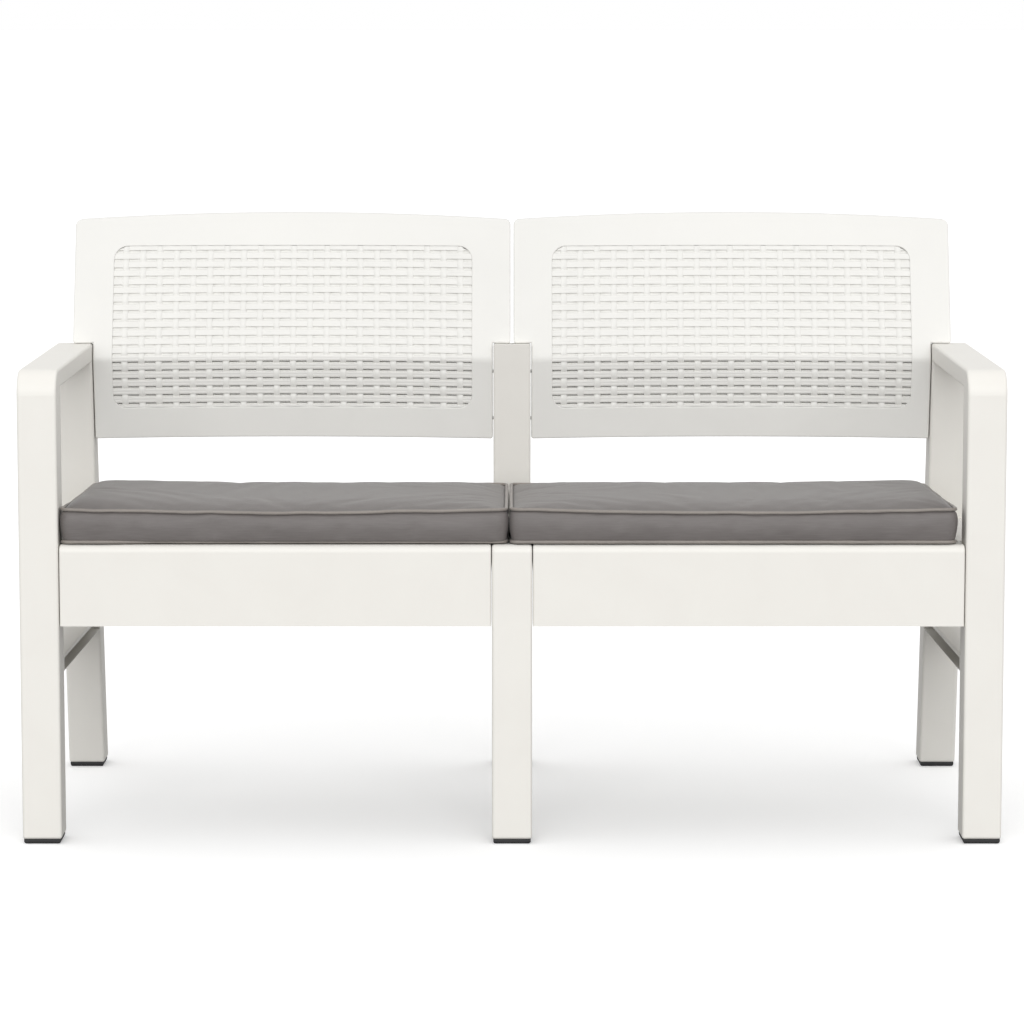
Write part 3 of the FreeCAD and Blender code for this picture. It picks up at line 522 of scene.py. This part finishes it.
def cover_mesh(name, side, seed):
    """The cover as it is sewn: a top, an underside and a band, joined at two seams."""
    lines_x = grid_lines(CUSHION_W)
    lines_y = grid_lines(CUSHION_D)
    last_x = len(lines_x) - 1
    last_y = len(lines_y) - 1
    vertices = []
    faces = []
    seam_share = []              # 1 on a seam, falling to 0 inside the panels
    held = []                    # how firmly the foam holds each point

    def put(x, y, z, share, hold):
        vertices.append((x, y, z))
        seam_share.append(share)
        held.append(hold)
        return len(vertices) - 1

    layers = []
    for top in (True, False):
        layer = {}
        for i, line_x in enumerate(lines_x):
            for j, line_y in enumerate(lines_y):
                x, y = rounded(line_x, line_y, TOP_INSET if top else LOW_INSET)
                edge = min(line_x, CUSHION_W - line_x, line_y, CUSHION_D - line_y)
                on_seam = i in (0, last_x) or j in (0, last_y)
                near = math.exp(-edge / (22 * MM))
                corner = math.exp(-math.hypot(min(line_x, CUSHION_W - line_x),
                                              min(line_y, CUSHION_D - line_y)) / (60 * MM))
                z = seam_height(x, y, top, seed)
                if top:
                    fill = crown_height(line_x, line_y, side)
                    z += fill * (1 + 0.07 * (TOP_SEAM_Z - z) / MM) + corner_gathers(line_x, line_y, side)
                    outer = CUSHION_W - line_x if side > 0 else line_x
                    if not on_seam:
                        x += side * OVERHANG * math.exp(-outer / OVERHANG_FADE)
                    layer[i, j] = put(x, y, z, min(near * 0.6 + corner, 1.0), 1.0 if on_seam else 0.12)
                else:
                    y += front_tuck(x, side) * math.exp(-y / TUCK_FADE)
                    layer[i, j] = put(x, y, z - min(edge / (30 * MM), 1.0) * LOW_SEAM_Z, 0.0, 1.0)
        for i in range(last_x):
            for j in range(last_y):
                quad = (layer[i, j], layer[i + 1, j], layer[i + 1, j + 1], layer[i, j + 1])
                faces.append(quad if top else quad[::-1])
        layers.append(layer)

    ring = ([(i, 0) for i in range(last_x)] + [(last_x, j) for j in range(last_y)]
            + [(i, last_y) for i in range(last_x, 0, -1)] + [(0, j) for j in range(last_y, 0, -1)])
    rows = [[layers[1][place] for place in ring]]
    for share in BAND_ROWS:
        line = []
        for i, j in ring:
            low = vertices[layers[1][i, j]]
            high = vertices[layers[0][i, j]]
            along = lines_x[i] + 1.3 * lines_y[j]
            pucker = wobble(along, 0.0, seed + 2, 13 * MM, PUCKER) * share ** 2
            x, y = rounded(lines_x[i], lines_y[j], LOW_INSET - band_bulge(share) - pucker)
            roll = front_tuck(x, side) * math.exp(-max(y, 0.0) / (10 * MM)) * (1 - share) ** 12
            z = low[2] + (high[2] - low[2]) * share - 0.8 * roll
            line.append(put(x, y - 0.3 * roll, z, 0.55, 0.1))
        rows.append(line)
    rows.append([layers[0][place] for place in ring])
    for lower, upper in zip(rows, rows[1:]):
        for index in range(len(ring)):
            beside = (index + 1) % len(ring)
            faces.append((lower[index], lower[beside], upper[beside], upper[index]))
    mesh = bpy.data.meshes.new(name)
    mesh.from_pydata(vertices, [], faces)
    return mesh, seam_share, held


def fill_cover(thing, seam_share, held):
    """Let the cover, which is cut a little long, fill out and pucker between seams and foam."""
    grip = thing.vertex_groups.new(name="foam_grip")
    slack = thing.vertex_groups.new(name="seam_slack")
    for index, (share, hold) in enumerate(zip(seam_share, held)):
        grip.add([index], hold, "REPLACE")
        slack.add([index], share, "REPLACE")
    cloth = thing.modifiers.new("cover_cloth", "CLOTH")
    cloth.settings.quality = 7
    cloth.settings.mass = 0.25
    cloth.settings.tension_stiffness = 25
    cloth.settings.compression_stiffness = 25
    cloth.settings.shear_stiffness = 8
    cloth.settings.bending_stiffness = 0.6
    cloth.settings.use_pressure = True
    cloth.settings.uniform_pressure_force = 1.5
    cloth.settings.vertex_group_mass = "foam_grip"
    cloth.settings.pin_stiffness = 1.0
    cloth.settings.vertex_group_shrink = "seam_slack"
    cloth.settings.shrink_min = -0.002
    cloth.settings.shrink_max = -0.028
    cloth.settings.effector_weights.gravity = 0.0
    cloth.collision_settings.use_collision = False
    cloth.point_cache.frame_start = 1
    cloth.point_cache.frame_end = FILL_STEPS
    for step in range(1, FILL_STEPS + 1):
        bpy.context.scene.frame_set(step)
    sewn = [vertex.co.copy() for vertex in thing.data.vertices]
    filled = bpy.data.meshes.new_from_object(thing.evaluated_get(bpy.context.evaluated_depsgraph_get()))
    thing.modifiers.remove(cloth)
    filled.materials.clear()
    thing.data = filled
    bpy.context.scene.frame_set(1)
    for vertex, start in zip(filled.vertices, sewn):
        shift = vertex.co - start
        if shift.length > MOST_FILL:
            vertex.co = start + shift * (MOST_FILL / shift.length)


def lay_on_seat(thing, side_name):
    """Put a cushion piece on the sloping seat."""
    place = (LEFT_EDGES[side_name], CUSHION_FRONT_Y, SEAT_FRONT_Z)
    thing.data.transform(Matrix.Translation(place)
                         @ Matrix.Rotation(-math.atan(SEAT_FALL), 4, "X"))


def tidy_rear_band(mesh):
    """Keep the rear band flat where the zip is sewn on."""
    for vertex in mesh.vertices:
        from_side = min(vertex.co.x, CUSHION_W - vertex.co.x)
        on_band = vertex.co.y > CUSHION_D - 8 * MM and ZIP_BAND[0] < vertex.co.z < ZIP_BAND[1]
        if on_band and from_side > ZIP_MARGIN:
            ease = min((from_side - ZIP_MARGIN) / ZIP_EASE, 1.0)
            vertex.co.y += (min(vertex.co.y, CUSHION_D - 0.1 * MM) - vertex.co.y) * ease


def press_flat(mesh, side_name):
    """Flatten the band where it would bulge into the other cushion or the arm."""
    lowest, highest = SIDE_LIMITS[side_name]
    for vertex in mesh.vertices:
        across = vertex.co.x + LEFT_EDGES[side_name]
        vertex.co.x = min(max(across, lowest), highest) - LEFT_EDGES[side_name]


def cushion_cover(side_name, side, seed):
    """One boxed cushion: foam in a sewn cover of top, underside and band."""
    body = side_name + "_cushion"
    mesh, seam_share, held = cover_mesh(body, side, seed)
    cover = bpy.data.objects.new(body, mesh)
    bpy.context.scene.collection.objects.link(cover)
    fill_cover(cover, seam_share, held)
    tidy_rear_band(cover.data)
    press_flat(cover.data, side_name)
    cover.data.materials.append(cushion_cloth)
    lay_on_seat(cover, side_name)
    finer = cover.modifiers.new("finer", "SUBSURF")
    finer.levels = 1
    finer.render_levels = 1
    cover.data.shade_smooth()
    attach(cover, body)
    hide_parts(body + "_cover", body + "_foam")


def seam_path(top, side, seed):
    """Points along a seam, with the way out of the cushion at each."""
    corners = ((CUSHION_W - CORNER_R, CORNER_R, -90), (CUSHION_W - CORNER_R, CUSHION_D - CORNER_R, 0),
               (CORNER_R, CUSHION_D - CORNER_R, 90), (CORNER_R, CORNER_R, 180))
    plan = []
    for index, (x, y, start) in enumerate(corners):
        for step in range(CORNER_STEPS + 1):
            angle = math.radians(start + 90 * step / CORNER_STEPS)
            plan.append((x + CORNER_R * math.cos(angle), y + CORNER_R * math.sin(angle), angle))
        next_x, next_y = corners[(index + 1) % 4][:2]
        angle = math.radians(start + 90)
        from_x, from_y = plan[-1][:2]
        to_x = next_x + CORNER_R * math.cos(angle)
        to_y = next_y + CORNER_R * math.sin(angle)
        count = round(math.hypot(to_x - from_x, to_y - from_y) / SEAM_STEP)
        for step in range(1, count):
            share = step / count
            plan.append((from_x + (to_x - from_x) * share, from_y + (to_y - from_y) * share, angle))
    path = []
    for x, y, angle in plan:
        out = Vector((math.cos(angle), math.sin(angle), 0))
        lift = (1.3 if top else -0.2) * MM
        sway = wobble(x, y, seed + 4, 45 * MM, 1.1 * MM) + wobble(x, y, seed + 5, 17 * MM, 0.45 * MM)
        reach = -0.5 * MM + sway * (0.35 + 0.65 * abs(out.y))
        if not top:
            y += front_tuck(x, side) * math.exp(-y / TUCK_FADE)
        path.append((Vector((x, y, seam_height(x, y, top, seed) + lift)) + out * reach, out))
    return path


def cushion_piping(side_name, side, seed):
    """Fabric-covered cord sewn into both seams."""
    body = side_name + "_cushion"
    vertices = []
    faces = []
    for top in (True, False):
        path = seam_path(top, side, seed)
        start = len(vertices)
        for point, out in path:
            girth = WELT_R * (1 + 0.1 * noise.noise(point / (14 * MM)))
            for step in range(RING):
                angle = 2 * math.pi * step / RING
                vertices.append(point + out * (girth * math.cos(angle))
                                + Vector((0, 0, girth * math.sin(angle))))
        for index in range(len(path)):
            here = start + index * RING
            ahead = start + (index + 1) % len(path) * RING
            for step in range(RING):
                beside = (step + 1) % RING
                faces.append((here + step, ahead + step, ahead + beside, here + beside))
    mesh = bpy.data.meshes.new(body + "_piping")
    mesh.from_pydata(vertices, [], faces)
    mesh.materials.append(piping_cloth_painted_highlight)
    piping = bpy.data.objects.new(body + "_piping", mesh)
    bpy.context.scene.collection.objects.link(piping)
    lay_on_seat(piping, side_name)
    mesh.shade_smooth()
    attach(piping, body)
    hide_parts(body + "_welts")


for side_name, side, seed in (("right", 1, 3.0), ("left", -1, 11.0)):
    cushion_cover(side_name, side, seed)
    cushion_piping(side_name, side, seed)


# ---------------------------------------------------------------- floor, light and camera

def studio_floor():
    """A round floor, which isn't part of the bench."""
    work = bmesh.new()
    bmesh.ops.create_circle(work, cap_ends=True, segments=96, radius=FLOOR_RADIUS)
    mesh = bpy.data.meshes.new("studio_floor")
    work.to_mesh(mesh)
    work.free()
    floor = bpy.data.objects.new("studio_floor", mesh)
    mesh.materials.append(lit_floor("matt_white_floor"))
    bpy.context.scene.collection.objects.link(floor)


def white_surroundings():
    """Even, soft light from all round, in front of a white background."""
    world = bpy.data.worlds.new("studio_white")
    world.use_nodes = True
    tree = world.node_tree
    tree.nodes.clear()
    soft = add(tree, "ShaderNodeBackground", {"Strength": AMBIENT})
    white = add(tree, "ShaderNodeBackground", {"Strength": 1.0})
    for shade in (soft, white):
        shade.inputs["Color"].default_value = (1.0, 1.0, 1.0, 1.0)
    seen = add(tree, "ShaderNodeLightPath")
    both = add(tree, "ShaderNodeMixShader", links={0: seen.outputs["Is Camera Ray"],
                                                   1: soft.outputs[0], 2: white.outputs[0]})
    add(tree, "ShaderNodeOutputWorld", links={"Surface": both.outputs[0]})
    bpy.context.scene.world = world


def front_fill():
    """A broad, distant light from the front and a little above."""
    data = bpy.data.lights.new("front_fill", "SUN")
    data.energy = FRONT_LIGHT
    data.angle = FRONT_SPREAD
    light = bpy.data.objects.new("front_fill", data)
    light.rotation_euler = (math.pi / 2 - FRONT_ELEVATION, 0.0, 0.0)
    bpy.context.scene.collection.objects.link(light)


studio_floor()
white_surroundings()
front_fill()
bpy.context.scene.view_settings.view_transform = "Standard"

camera_data = bpy.data.cameras.new("front_camera")
camera_data.lens = LENS
camera_data.clip_end = VIEW_LIMIT
camera = bpy.data.objects.new("front_camera", camera_data)
camera.location = CAMERA_PLACE
camera.rotation_euler = (math.pi / 2 + CAMERA_PITCH, 0.0, 0.0)
bpy.context.scene.collection.objects.link(camera)
bpy.context.scene.camera = camera
